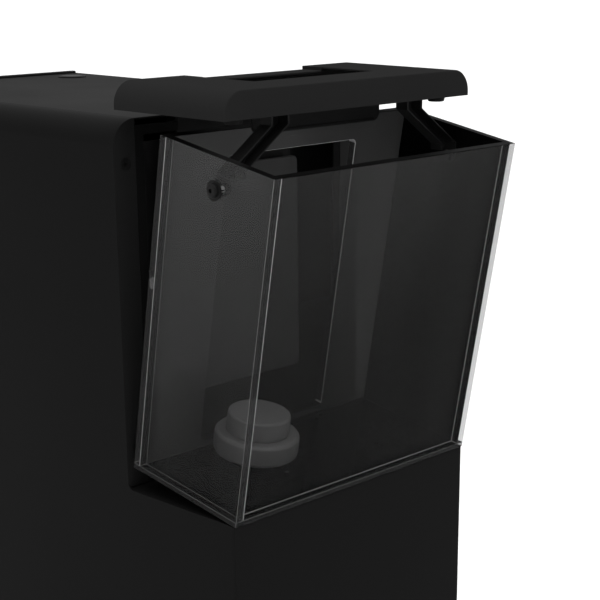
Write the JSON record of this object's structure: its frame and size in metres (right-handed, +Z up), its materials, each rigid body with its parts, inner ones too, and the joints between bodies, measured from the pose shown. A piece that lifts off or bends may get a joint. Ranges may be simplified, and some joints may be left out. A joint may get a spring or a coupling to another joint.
{
  "type": "trash compactor",
  "caption": "Freestanding trash compactor: stepped black cabinet, clear bin that tilts out, lid lifted by two arms, and a horizontal press.",
  "frame": {"origin": "on the floor, under the centre of the whole object with the bin tilted open", "axes": "+X to the right seen from the front, +Y to the back, +Z up"},
  "size_m": [0.3916, 0.7676, 0.9165],
  "materials": {
    "cabinet_paint": "satin black powder coat",
    "lid_paint": "satin black powder coat",
    "dark_trim": "moulded black",
    "smoked_acrylic": "smoked, polished edges",
    "black_acrylic": "dark smoked, polished edges",
    "black_steel": "black oxide",
    "zinc_steel": "zinc plated",
    "bright_steel": "polished",
    "bronze": "machined",
    "grey_plastic": "satin moulded",
    "press_face": "anodised",
    "rubber_black": "matt",
    "motor_grey": "grey enamel"
  },
  "bodies": {
    "cabinet": {"right_side_panel": "cabinet_paint", "left_side_panel": "cabinet_paint", "flange_screws": "black_steel", "top_panel": "cabinet_paint", "rear_top_trim": "dark_trim", "button_bezel": "dark_trim", "button_holder": "dark_trim", "front_frame": "cabinet_paint", "lower_front_panel": "cabinet_paint", "step_plate": "cabinet_paint", "bin_hinge_pins": "bright_steel", "rear_panel": "cabinet_paint", "rear_panel_screws": "black_steel", "mains_inlet": "dark_trim", "control_box": "dark_trim", "base_frame": "zinc_steel", "levelling_feet": "rubber_black", "corner_posts": "zinc_steel", "lid_rails": "bright_steel", "lid_rail_plate": "zinc_steel", "guide_plate": "zinc_steel", "tube_bushes": "bronze", "bulkhead": "zinc_steel", "screw_bearings": "bronze", "drive_chain": "black_steel", "gear_motor": "motor_grey", "motor_bracket": "zinc_steel"},
    "bin": {"bin_left_wall": "smoked_acrylic", "bin_right_wall": "black_acrylic", "bin_front_wall": "smoked_acrylic", "bin_rear_wall": "black_acrylic", "bin_floor": "smoked_acrylic", "bin_floor_screws": "bright_steel", "deodoriser_base": "grey_plastic", "deodoriser_cap": "grey_plastic", "bin_hinge_leaves": "black_steel", "bin_pivot_bolts": "black_steel", "bin_pivot_washers": "bright_steel", "bin_pivot_nuts": "black_steel"},
    "lid": {"lid_cover": "lid_paint", "feed_deflector": "dark_trim", "lid_brackets": "black_steel", "lid_bumpers": "rubber_black", "bumper_bridges": "black_steel", "lid_carriage": "black_steel", "carriage_bushes": "bronze"},
    "right_arm": {"right_arm": "black_steel", "right_arm_pin": "bright_steel"},
    "left_arm": {"left_arm": "black_steel", "left_arm_pin": "bright_steel"},
    "press": {"press_plate": "press_face", "push_tubes": "bright_steel", "crosshead": "zinc_steel", "drive_nuts": "bronze"},
    "left_screw": {"left_drive_screw": "bright_steel", "left_sprocket": "black_steel"},
    "right_screw": {"right_drive_screw": "bright_steel", "right_sprocket": "black_steel"},
    "motor_output": {"motor_sprocket": "black_steel"},
    "button": {"start_button": "grey_plastic"}
  },
  "joints": [
    {"name": "bin_tilt", "type": "hinge", "parent": "cabinet", "child": "bin", "pos_m": [0, -0.30824, 0.456], "axis": [1, 0, 0], "range_deg": [-10, 0]},
    {"name": "lid_lift", "type": "slide", "parent": "cabinet", "child": "lid", "axis": [0, 0, 1], "range_m": [-0.0405, 0]},
    {"name": "right_arm_swing", "type": "hinge", "parent": "bin", "child": "right_arm", "pos_m": [0.1784, -0.29851, 0.8189], "axis": [1, 0, 0], "range_deg": [0, 65.82]},
    {"name": "left_arm_swing", "type": "hinge", "parent": "bin", "child": "left_arm", "pos_m": [-0.1784, -0.29851, 0.8189], "axis": [1, 0, 0], "range_deg": [0, 65.82]},
    {"name": "press_stroke", "type": "slide", "parent": "cabinet", "child": "press", "axis": [0, -1, 0], "range_m": [0, 0.14]},
    {"name": "left_screw_turn", "type": "hinge", "parent": "cabinet", "child": "left_screw", "pos_m": [-0.11, 0, 0.684], "axis": [0, 1, 0], "range_deg": [0, 2520.5]},
    {"name": "right_screw_turn", "type": "hinge", "parent": "cabinet", "child": "right_screw", "pos_m": [0.11, 0, 0.684], "axis": [0, 1, 0], "range_deg": [0, 2520.5]},
    {"name": "motor_turn", "type": "hinge", "parent": "cabinet", "child": "motor_output", "pos_m": [0, 0.18, 0.6], "axis": [0, 1, 0], "range_deg": [0, 5041]},
    {"name": "start_button_press", "type": "slide", "parent": "cabinet", "child": "button", "axis": [0, 0, -1], "range_m": [0, 0.0025], "stiffness_N_per_m": 500}
  ],
  "couplings": [
    {"joint": "lid_lift", "follows": "bin_tilt", "m_per_rad": 0.23204},
    {"joint": "right_arm_swing", "follows": "bin_tilt", "ratio": -6.5813},
    {"joint": "left_arm_swing", "follows": "bin_tilt", "ratio": -6.5813},
    {"joint": "left_screw_turn", "follows": "press_stroke", "rad_per_m": 314.16},
    {"joint": "right_screw_turn", "follows": "press_stroke", "rad_per_m": 314.16},
    {"joint": "motor_turn", "follows": "press_stroke", "rad_per_m": 628.32}
  ]
}
